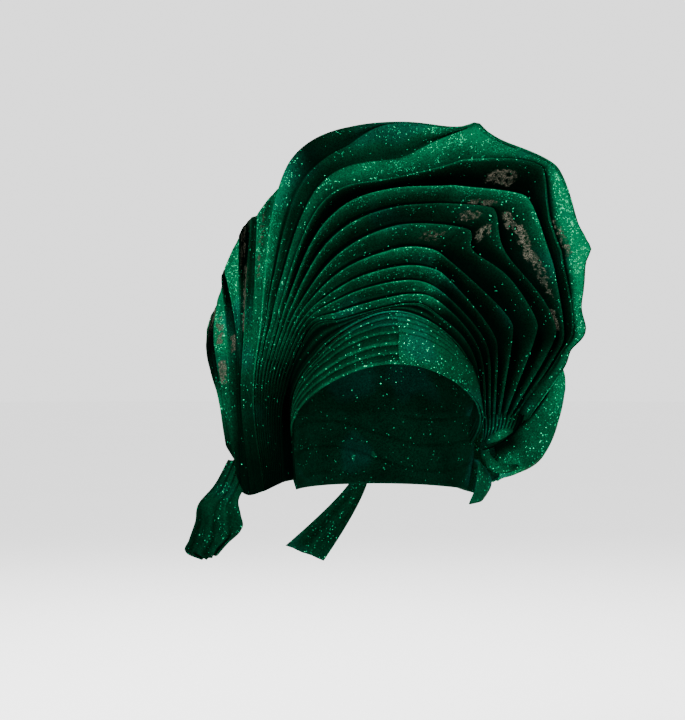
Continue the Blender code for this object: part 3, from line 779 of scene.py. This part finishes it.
# painted light and shade for each point of the fan, read from the tables above, and where the woven
# border comes out
def fan_marks(u, v):
    row = round(v * fan_rows)
    fold, step = divmod(row, fan_fold_rows)
    crest_fold = fold - 1 if step == 0 else fold
    roll = FIRST_LIGHT if crest_fold == 0 else ROLL_LIGHT
    left = FIRST_LIGHT if crest_fold == 0 else LEFT_LIGHT
    lit = blend(left[step], roll[step], between(u, left_stretch))
    lit = blend(lit, EDGE_LIGHT[step], between(u, edge_stretch))
    if crest_fold >= first_broad_fold:
        broad = {first_broad_fold: LIP_LIGHT, groove_fold: ABOVE_LIP_LIGHT}.get(crest_fold, BROAD_LIGHT)
        lit = blend(lit, broad[step], between(u, broad_stretch))
        if crest_fold == groove_fold:
            lit = blend(lit, GROOVE_LIGHT[step], between(u, groove_stretch))
    if crest_fold == len(FOLDS) - 1:
        lit = blend(lit, SHEEN_LIGHT[step], between(u, sheen_stretch))
    strength = read_row(FOLD_LIGHT[max(0, crest_fold)], LIGHT_STATIONS, u)
    return lit * strength, border_shown(BORDER, fold, u, ACROSS[step][0])


fan = folded_cloth(
    "pleated_fan_cloth", fan_columns, fan_rows, fan_fold, ["pleated_fan"], bright_cloth,
    marks=fan_marks,
)

# %% [markdown]
# ## The wing on the wearer's right
# Behind the fan's edge more folds stand on end. They start under the fan's rim, open upwards into
# uneven steps, and are drawn together at the foot.

# %% Left wing
wing_spread = 0.048
wing_reach = wing_spread - foot_x[1] * fan_reach
wing_height = 0.187
wing_sweep = 0.060
wing_pleat_depth = 0.007
wing_foot_share = 0.25
WING_COLUMNS = (
    "top_x", "top_z", "top_y", "mid_x", "mid_z", "mid_y",
    "waist_x", "waist_z", "waist_y", "foot_x", "foot_z", "foot_y",
)
WING = (
    (-0.735, 0.985, 0.20, -0.745, 0.50, 0.52, -0.775, 0.165, 0.60, -0.705, -0.265, 0.85),
    (-0.769, 0.972, 0.28, -0.790, 0.49, 0.56, -0.810, 0.165, 0.66, -0.735, -0.272, 0.88),
    (-0.830, 0.892, 0.38, -0.818, 0.48, 0.62, -0.800, 0.165, 0.72, -0.765, -0.270, 0.91),
    (-0.912, 0.749, 0.46, -0.827, 0.46, 0.68, -0.806, 0.162, 0.78, -0.790, -0.240, 0.94),
    (-0.920, 0.686, 0.56, -0.883, 0.44, 0.74, -0.870, 0.160, 0.84, -0.815, -0.180, 0.97),
    (-0.944, 0.596, 0.66, -0.957, 0.42, 0.80, -0.900, 0.158, 0.89, -0.832, -0.110, 0.99),
    (-1.000, 0.470, 0.78, -0.990, 0.34, 0.88, -0.925, 0.155, 0.95, -0.880, -0.045, 1.02),
)
WING_STATIONS = (0.0, 0.40, 0.72, 1.0)
wing_top_run = 0.365
wing_rows = fan_fold_rows * len(WING)
# how deep each fold is beside the usual, how evenly its painted light lies across it, and how much
# light is painted along its crest
WING_DEPTH = (0.5, 0.6, 1.6, 0.35, 2.0, 0.25, 1.0)
WING_EVENNESS = (0.65, 0.55, 0.0, 1.0, 0.0, 1.0, 0.4)
WING_LIGHT_STATIONS = (0.0, 0.12, 0.25, 0.40, 0.55, 0.72, 1.0)
WING_LIGHT = (
    (0.75, 0.90, 0.80, 0.60, 0.50, 0.18, 0.05),
    (0.30, 0.35, 0.42, 0.95, 0.90, 0.32, 0.05),
    (0.05, 0.10, 0.70, 0.55, 0.20, 0.10, 0.05),
    (0.80, 1.00, 1.00, 0.50, 0.10, 0.05, 0.05),
    (0.10, 0.20, 0.50, 0.85, 0.75, 0.50, 0.08),
    (0.80, 0.90, 1.00, 1.00, 0.60, 0.50, 0.10),
    (0.60, 0.35, 0.20, 0.15, 0.25, 0.90, 0.12),
)
wing_broad_share = 0.7
wing_wander = 0.0015
# patches of the woven border on the wing, with the same columns as on the fan
WING_BORDER = (
    (0, 0.02, 0.22, 0.35, 0.80, 0.66),
    (2, 0.00, 0.14, 0.20, 0.90, 0.90),
    (2, 0.16, 0.42, 0.00, 0.28, 1.00),
    (4, 0.40, 0.49, 0.10, 0.60, 1.30),
    (5, 0.22, 0.42, 0.20, 0.90, 0.85),
    (5, 0.52, 0.64, 0.10, 0.90, 1.30),
    (6, 0.00, 0.26, 0.05, 0.95, 0.95),
)


def wing_crest(index, share):
    if index < 0:
        run = wing_top_run * (1 - share)
        return crest(len(FOLDS) - 1, run) + Vector((0, fan_wall + 2 * clearance, 0))
    fold = dict(zip(WING_COLUMNS, WING[index], strict=True))
    points = [
        Vector((
            fold[spot + "_x"] * wing_reach,
            fold[spot + "_y"] * wing_sweep,
            fold[spot + "_z"] * wing_height,
        ))
        for spot in ("top", "mid", "waist", "foot")
    ]
    at = curve_through(points, WING_STATIONS, share)
    if index < len(WING) - 1:
        at.x += ripple(Vector((index * 0.9, 0, share * 2.2)), 1.0, wing_wander) * sin(pi * share)
    return at


def wing_fold(u, v):
    fold, step = divmod(round(v * wing_rows), fan_fold_rows)
    inner = wing_crest(fold - 1, u)
    if step == 0:
        return inner
    outer = wing_crest(fold, u)
    along, down = ACROSS[step]
    pitch = Vector((outer.x - inner.x, 0, outer.z - inner.z)).length
    deep = wing_pleat_depth * 1.3 * WING_DEPTH[fold]
    depth = min(deep, 0.9 * pitch) * blend(1.0, wing_foot_share, u**2)
    point = inner.lerp(outer, along)
    wave = ripple(Vector((u * 0.12, fold * 0.07, along * 0.010)), 0.012, 0.0020 * (1 - u))
    return point + Vector((0, depth * down + wave * sin(pi * along), 0))


# painted light and shade for each point of the wing, from the tables above, and where its woven border
# comes out
def wing_marks(u, v):
    fold, step = divmod(round(v * wing_rows), fan_fold_rows)
    crest_fold = fold - 1 if step == 0 else fold
    lit = blend(ROLL_LIGHT[step], BROAD_LIGHT[step], wing_broad_share)
    lit = blend(lit, 0.95, WING_EVENNESS[max(0, crest_fold)])
    lit *= 0.92 * read_row(WING_LIGHT[max(0, crest_fold)], WING_LIGHT_STATIONS, u)
    return lit, border_shown(WING_BORDER, fold, u, ACROSS[step][0])


left_wing = folded_cloth(
    "left_wing_cloth", 110, wing_rows, wing_fold, ["left_wing"], bright_cloth,
    turned=True, marks=wing_marks,
)

# %% [markdown]
# ## The pouch beside the left ear
# A loose fold of cloth stands out from the head like a cup. Upright sections, from the front edge
# round to the nape, each pass four points, and a curve runs through the sections.

# %% Side pouch
pouch_spread = 0.0404
pouch_reach = pouch_spread + right_foot_x[1] * fan_reach
pouch_height = 0.066
pouch_drop = 0.044
pouch_back = 0.110
POUCH_COLUMNS = (
    "top_x", "top_y", "top_z", "belly_x", "belly_y", "belly_z",
    "hip_x", "hip_y", "hip_z", "foot_x", "foot_y", "foot_z",
)
POUCH = (
    (0.900, 0.07, 0.96, 0.860, 0.065, 0.52, 0.745, 0.08, 0.16, 0.575, 0.04, -0.10),
    (0.955, 0.15, 1.00, 0.985, 0.18, 0.56, 0.885, 0.19, -0.34, 0.625, 0.12, -0.84),
    (0.925, 0.40, 1.00, 0.960, 0.46, 0.52, 0.850, 0.46, -0.36, 0.600, 0.40, -0.95),
    (0.760, 0.72, 0.92, 0.790, 0.80, 0.46, 0.705, 0.78, -0.36, 0.515, 0.66, -1.00),
    (0.470, 0.93, 0.74, 0.480, 0.99, 0.34, 0.450, 0.99, -0.20, 0.345, 0.91, -1.00),
    (0.200, 1.00, 0.55, 0.205, 1.03, 0.22, 0.200, 1.03, -0.20, 0.190, 1.01, -0.75),
)
POUCH_STATIONS = (0.0, 0.30, 0.62, 1.0)
pouch_heart = Vector((0.065, 0.045, 0.030))
POUCH_SECTIONS = []
for row in POUCH:
    column = dict(zip(POUCH_COLUMNS, row, strict=True))
    points = []
    for spot in ("top", "belly", "hip", "foot"):
        z = column[spot + "_z"]
        points.append(Vector((
            column[spot + "_x"] * pouch_reach,
            column[spot + "_y"] * pouch_back,
            z * (pouch_height if z > 0 else pouch_drop),
        )))
    POUCH_SECTIONS.append(points)


def pouch_fold(u, v):
    rib = [curve_through(points, POUCH_STATIONS, v) for points in POUCH_SECTIONS]
    around = [i / (len(rib) - 1) for i in range(len(rib))]
    point = curve_through(rib, around, u)
    inward = (pouch_heart - point).normalized()
    gathers = 0.0016 * sin(u * 40 + 3 * v) * v**2 * sin(pi * min(1.0, u * 1.2))
    soft = ripple(point, 0.030, 0.0026, 6.0) + ripple(point, 0.012, 0.0007, 3.0)
    return point + inward * (abs(soft) + abs(gathers))


# painted light: the high side and the low rim are painted brighter; a thin line of painted shade runs
# along the front edge, and the hollow low at the front is painted dark with shade
def pouch_marks(u, v):
    low_rim = between(v, (0.78, 0.88)) * between(u, (0.07, 0.12))
    high_side = (1 - between(v, (0.30, 0.50))) * between(u, (0.04, 0.12))
    lit = 0.51 + 0.34 * high_side + 0.28 * low_rim
    front_edge = between(u, (0.004, 0.030))
    hollow = between(v, (0.66, 0.82)) * (1 - between(u, (0.05, 0.10)))
    return lit * (0.05 + 0.95 * front_edge) * (1 - 0.92 * hollow), 0.0


side_pouch = folded_cloth(
    "side_pouch_cloth", 110, 70, pouch_fold, ["side_pouch"], bright_cloth,
    marks=pouch_marks,
)

# %% [markdown]
# ## The wraps over the head
# Under the fan and behind it the cloth is pulled tight over the crown and round the nape, in broad
# overlapping turns that run down to the knot.

# %% Crown wrap
crown_turns = 5
turn_proud = 0.0011


def crown_rim(angle):
    off = (angle - band_turn + pi) % (2 * pi) - pi
    if abs(off) > band_half_sweep + radians(12):
        return band_low(band_half_sweep) + band_end_height
    off = max(-band_half_sweep, min(band_half_sweep, off))
    low = band_low(off)
    top = band_point(off, 1.0).z
    z = head_rise * 0.97
    while z > 0:
        face = band_point(off, min(1.0, (z - low) / (top - low)))
        cloth = around_head(angle, z, wall + rim_clearance)
        if z < top + rim_clearance and cloth.xy.length > face.xy.length:
            return z
        z -= rim_clearance / 4
    return z


crown_columns = 120
CROWN_RIMS = [crown_rim(2 * pi * i / crown_columns) for i in range(crown_columns + 1)]


def crown_fold(u, v):
    angle = 2 * pi * u
    top = CROWN_RIMS[round(u * crown_columns)]
    z = min(top + (head_rise - top) * (1 - (1 - v) ** 2), head_rise)
    slope = (z / head_rise) * 1.0 + 0.35 * cos(angle)
    turn = slope * crown_turns
    lapped = 1 - (turn - floor(turn))
    lapped = min(1.0, lapped * 1.0) ** 0.7 * (1 - v) ** 0.5
    point = around_head(angle, z, 0.0)
    steep = Vector((
        point.x / head_half_width**2, point.y / head_half_depth**2, max(point.z, 0) / head_rise**2,
    )).normalized()
    return point + steep * (wall + turn_proud * lapped * (1 - v))


# painted shade: the crown wrap lies under the fan and gets a low, even painted light
def crown_marks(u, v):
    return 0.40, 0.0


crown_wrap = folded_cloth(
    "crown_wrap_cloth", crown_columns, 60, crown_fold, ["crown_wrap"], shaded_cloth,
    closed=True, marks=crown_marks, wall=0.0020,
)

# %% Nape wrap
nape_gap_angle = radians(1.2)
nape_turns = 4


def nape_fold(u, v):
    half = pi - band_half_sweep - nape_gap_angle
    angle = pi + band_turn + blend(-half, half, u)
    z = blend(-nape_drop, nape_top, v)
    turn = v * nape_turns + 0.5 * sin(2 * pi * u)
    lapped = 1 - (turn - floor(turn))
    edge = min(1.0, 8 * v, 8 * (1 - v))
    extra = 2 * wall + 2 * clearance + 0.0010 * lapped**0.6 * edge
    point = around_head(angle, z, extra)
    return point + outward(angle) * ripple(point, 0.018, 0.0006)


nape_wrap = folded_cloth(
    "nape_wrap_cloth", 110, 64, nape_fold, ["nape_wrap"], shaded_cloth,
    wall=0.0016,
)

# %% [markdown]
# ## The twist at the temple
# The folds of the fan end in a tight gather beside the left temple. Two rolls of cloth meet there:
# a short one over the gather, and a longer one that curls down and out under the pouch. Each is a
# strip of cloth rolled up on itself, carried along a curve.

# %% Rolls of the twist
twist_reach = 0.050
twist_drop = 0.030
pinch = Vector((0.0850, -0.0080, -0.0050))
roll_half_width = 0.0062
roll_half_thickness = 0.0045
ROLL_COLUMNS = ("across", "down", "back")
LOWER_ROLL = (
    (-0.03, 0.00, 0.00),
    (-0.01, 0.40, -0.03),
    (0.14, 0.66, -0.02),
    (0.36, 0.74, 0.08),
    (0.62, 0.72, 0.26),
)
UPPER_ROLL = (
    (-0.04, -0.04, -0.160),
    (0.10, -0.16, -0.230),
    (0.24, -0.27, -0.210),
    (0.42, -0.34, -0.080),
)
roll_turns = 1.35
lower_roll_share = 0.62
upper_roll_share = 0.55


# painted light: each roll is painted brighter at its middle than at its ends
def roll_cloth(name, node, rows, thickness_share):
    points = []
    for row in rows:
        column = dict(zip(ROLL_COLUMNS, row, strict=True))
        points.append(pinch + Vector((
            column["across"] * twist_reach, column["back"] * twist_reach,
            -column["down"] * twist_drop,
        )))
    stations = [i / (len(points) - 1) for i in range(len(points))]

    def fold(u, v):
        at = curve_through(points, stations, u)
        ahead = curve_through(points, stations, min(1.0, u + 0.01))
        behind = curve_through(points, stations, max(0.0, u - 0.01))
        along = (ahead - behind).normalized()
        across = along.cross(Vector((0, 1, 0))).normalized()
        front = across.cross(along)
        swell = (0.20 + 0.80 * sin(pi * (0.10 + 0.86 * u)) ** 0.8) * thickness_share
        turn = 2 * pi * roll_turns * v + 1.1 * u
        inner = blend(0.62, 1.0, min(1.0, v * roll_turns))
        ribs = 1 + 0.07 * sin(3 * turn)
        offset = across * cos(turn) * roll_half_width + front * sin(turn) * roll_half_thickness
        return at + offset * swell * inner * ribs

    return folded_cloth(
        name, 60, 48, fold, [node], bright_cloth, turned=True,
        marks=lambda u, v: (0.18 + 0.42 * sin(pi * u), 0.0), wall=0.0007,
    )


lower_roll = roll_cloth("lower_twist_cloth", "lower_twist", LOWER_ROLL, lower_roll_share)
upper_roll = roll_cloth("upper_twist_cloth", "upper_twist", UPPER_ROLL, upper_roll_share)

# %% [markdown]
# Between the fan's right feet and the pinch the pleats lie flat, bend inwards and run together.

# %% Gather at the temple
gather_pleats = len(FOLDS) - 1
gather_pleat_depth = 0.0018
gather_rise = 0.012
gather_start_depth = 0.006
gather_end = Vector((0.0775, -0.0140, -0.0110))


def gather_ridge(u):
    return 0.5 + 0.5 * cos(2 * pi * gather_pleats * u)


def gather_fold(u, v):
    foot = crest(0, 1.0).lerp(crest(len(FOLDS) - 1, 1.0), u)
    top = foot + Vector((0, gather_start_depth, gather_rise))
    end = gather_end + Vector((0.0030 * u, 0.0010 * u, 0.0040 * (1 - u)))
    bend = Vector((blend(end.x, foot.x, 0.80), end.y - 0.004, blend(end.z, top.z, 0.22)))
    at = top * (1 - v) ** 2 + bend * (2 * v * (1 - v)) + end * v**2
    return at - Vector((0, gather_pleat_depth * gather_ridge(u) * (1 - 0.75 * v), 0))


# painted highlights along each pleat's ridge line, brightest midway, and painted shade towards the far
# side and the pinch
def gather_marks(u, v):
    line = gather_ridge(u) ** 7
    bright = blend(0.14, 0.62, sin(pi * min(1.0, v * 1.1)) ** 2)
    return (0.10 + line * bright) * (1 - between(u, (0.70, 0.92))) * (1 - 0.5 * v**2), 0.0


temple_gather = folded_cloth(
    "temple_gather_cloth", 108, 36, gather_fold, [], bright_cloth,
    marks=gather_marks, wall=0.0006,
)

# %% Fold over the ear
ear_fold_reach = (0.0030, 0.0065)
ear_fold_flare = 0.0165
ear_fold_sweep = (radians(80), radians(114))
ear_fold_up = -0.0200
ear_fold_drop = 0.0560


def ear_fold(u, v):
    angle = blend(ear_fold_sweep[0], ear_fold_sweep[1], u)
    low = blend(-ear_fold_drop, -nape_drop, u**1.5)
    z = blend(ear_fold_up, low, v)
    reach = blend(ear_fold_reach[0], ear_fold_reach[1], min(1.0, 2.2 * u))
    flare = ear_fold_flare * sin(pi * u) * sin(0.75 * pi * v)
    point = around_head(angle, z, reach + flare + wall - cloth_wall)
    pleat = 0.0009 * sin(u * 15 + v * 4) * v
    return point + outward(angle) * (pleat + ripple(point, 0.012, 0.0006))


# painted shade: the fold over the ear gets the shaded copy of the cloth and one even level of painted
# light
right_ear_fold = folded_cloth(
    "right_ear_fold_cloth", 44, 40, ear_fold, ["right_ear_fold"], shaded_cloth,
    turned=True, marks=lambda u, v: (0.80, 0.0),
)

# %% [markdown]
# ## The knot and the hanging ends
# At the nape the gathered ends are tied. The photograph doesn't show the back, so it is finished
# plainly: a band of cloth wound round the gathers, one end drawn in from the wing, and a tail.

# %% Knot at the nape
knot_half_width = 0.026
knot_half_height = 0.019
knot_half_depth = 0.013
knot_drop = 0.026
knot_waist = 0.22
knot_back = head_half_depth * head_share(-knot_drop) + 2 * wall + 3 * clearance
knot = Vector((0, knot_back + knot_half_depth * (1 - knot_waist / 2), -knot_drop))


def knot_fold(u, v):
    turn = 2 * pi * u
    x = blend(-1, 1, v)
    ends = sqrt(max(0.0, 1 - (abs(x) * 0.96) ** 2.6))
    waist = 1 - knot_waist * exp(-((x / 0.30) ** 2))
    ribs = 1 + 0.055 * sin(x * 17 + 1.5 * sin(turn))
    return knot + Vector((
        x * knot_half_width * (0.96 + 0.04 * ends),
        cos(turn) * knot_half_depth * ends * waist * ribs,
        sin(turn) * knot_half_height * ends * waist * ribs,
    ))


# painted light: the knot gets one even, fairly bright level
nape_knot = folded_cloth(
    "nape_knot_cloth", 64, 60, knot_fold, ["nape_knot"], bright_cloth,
    closed=True, turned=True, marks=lambda u, v: (0.7, 0.0),
)

# %% Tie from the wing to the knot
tie_pleat_depth = 0.0030
tie_bulge = 0.017
tie_facing = Vector((-0.45, 0.76, -0.45)).normalized()
tie_from = 0.6
tie_folds = 8
tie_reach = 0.88
rim_foot = crest(len(FOLDS) - 1, 0.0)
tie_feet = [crest(0, 0.0).lerp(rim_foot, tie_from), rim_foot]
for index in (1, 3, 4, 6):
    fold = dict(zip(WING_COLUMNS, WING[index], strict=True))
    tie_feet.append(Vector((
        fold["foot_x"] * wing_reach, fold["foot_y"] * wing_sweep, fold["foot_z"] * wing_height,
    )))
tie_stations = [i / (len(tie_feet) - 1) for i in range(len(tie_feet))]
tie_behind = fan_wall + tie_pleat_depth + 4 * clearance
tie_behind_tail = wall + 6 * clearance


def tie_fold(u, v):
    start = curve_through(tie_feet, tie_stations, v * tie_reach)
    start.y += tie_behind + tie_behind_tail * min(1.0, 2 * v)
    end = knot + Vector((-knot_half_width * 0.86, 0, blend(-0.6, 0.6, v) * knot_half_height))
    at = start.lerp(end, u)
    out = Vector((at.x, at.y, 0)).normalized()
    pleat = tie_pleat_depth * (0.5 - 0.5 * cos(2 * pi * tie_folds * v)) * sin(pi * u)
    return at + out * tie_bulge * sin(pi * u) ** 0.8 + tie_facing * (pleat + 0.0008)


left_tie = folded_cloth(
    "left_tie_cloth", 70, 96, tie_fold, ["left_tie"], shaded_cloth,
)

# %% Side tail
tail_length = 0.088
tail_width = 0.046
tail_pleat_depth = 0.006
tail_opens = 0.30
tail_skew = 0.008
tail_out = -0.130
tail_up = -0.022
tail_folds = 6
TAIL_COLUMNS = ("drop", "left", "right")
TAIL = (
    (0.00, 0.17, 0.58),
    (0.28, -0.13, 0.46),
    (0.44, -0.40, 0.34),
    (0.60, -0.46, 0.38),
    (0.78, -0.58, 0.40),
    (0.90, -0.64, 0.16),
    (1.00, -0.34, -0.06),
)
tail_levels = [dict(zip(TAIL_COLUMNS, row, strict=True)) for row in TAIL]
tail_stations = [level["drop"] for level in tail_levels]
tail_back = WING[-1][-1] * wing_sweep + fan_wall + wing_pleat_depth * wing_foot_share + 2 * clearance


def tail_edge(side, share):
    points = [Vector((level[side], 0, 0)) for level in tail_levels]
    return curve_through(points, tail_stations, share).x


def tail_fold(u, v):
    left = tail_edge("left", v)
    right_edge = tail_edge("right", v)
    x = tail_out + blend(left, right_edge, u) * tail_width
    opened = min(1.0, max(0.0, (v - tail_opens) / tail_opens))
    depth = tail_pleat_depth * opened * (0.5 - 0.5 * cos(pi * tail_folds * u))
    gather = 0.0012 * (1 - opened) * sin(u * 26)
    tip = 0.08 * (right_edge - left) * (1 - (2 * u - 0.6) ** 2)
    z = tail_up - tail_length * v * (0.94 + tip)
    return Vector((x, tail_back - tail_skew * u * (1 - v) + depth + gather, z))


# painted light: the side tail gets a low level, a little brighter towards one edge
side_tail = folded_cloth(
    "side_tail_cloth", 84, 70, tail_fold, ["side_tail"], bright_cloth,
    turned=True, marks=lambda u, v: (0.24 + 0.12 * u, 0.0),
)

# %% Back tail
back_tail_length = 0.070
back_tail_width = 0.034
back_tail_swing = 0.052
back_tail_folds = 4


def back_tail_fold(u, v):
    width = back_tail_width * (0.45 + 0.55 * v)
    x = -back_tail_swing * v**1.2 + (u - 0.5) * width
    depth = tail_pleat_depth * v * (0.5 - 0.5 * cos(pi * back_tail_folds * u))
    point_down = 0.20 * v * u
    top = knot.z - knot_half_height * (1 - knot_waist / 2) - clearance
    z = top - back_tail_length * (v * 0.8 + point_down)
    y = knot.y - 0.003 - 0.014 * v + depth
    return Vector((x, y, z))


# painted light: the back tail gets one even, low level
back_tail = folded_cloth(
    "back_tail_cloth", 60, 70, back_tail_fold, ["back_tail"], bright_cloth,
    turned=True, marks=lambda u, v: (0.34, 0.0),
)

# %% [markdown]
# ## Studio
# A wide pale floor, a soft key light from the upper left, a weaker fill from the right and a light
# from behind, so that the back can be seen too.

# %% Floor and lights
floor_drop = 0.42
bm = bmesh.new()
bmesh.ops.create_circle(bm, cap_ends=True, segments=96, radius=14)
bmesh.ops.translate(bm, verts=bm.verts, vec=(0, 0, -floor_drop))
floor_mesh = bpy.data.meshes.new("floor")
bm.to_mesh(floor_mesh)
bm.free()
studio_floor = bpy.data.objects.new("studio_floor", floor_mesh)
bpy.context.collection.objects.link(studio_floor)
paper = Finish("paper")
grain = paper.node("ShaderNodeTexNoise", {}, {"Scale": 40, "Detail": 2})
paper.set(
    Base_Color=paper.mix(grain, (0.93, 0.93, 0.93, 1), (0.96, 0.96, 0.96, 1)), Roughness=0.9
)
floor_mesh.materials.append(paper.material)

LIGHT_COLUMNS = ("x", "y", "z", "watts", "size")
LIGHTS = (
    (-0.9, -1.3, 1.5, 120, 0.6),
    (1.5, -1.3, 0.7, 26, 1.2),
    (0.2, 1.7, 1.4, 70, 1.2),
    (-1.7, 0.9, 0.5, 26, 1.2),
)
for row in LIGHTS:
    at = dict(zip(LIGHT_COLUMNS, row, strict=True))
    lamp = bpy.data.objects.new("soft_light", bpy.data.lights.new("soft_light", "AREA"))
    lamp.data.energy = at["watts"]
    lamp.data.size = at["size"]
    lamp.location = (at["x"], at["y"], at["z"])
    lamp.rotation_euler = lamp.location.to_track_quat("Z", "Y").to_euler()
    bpy.context.collection.objects.link(lamp)

world = bpy.data.worlds.new("studio")
bpy.context.scene.world = world
world.use_nodes = True
world.node_tree.nodes["Background"].inputs["Color"].default_value = (0.90, 0.90, 0.90, 1)
world.node_tree.nodes["Background"].inputs["Strength"].default_value = 2.1
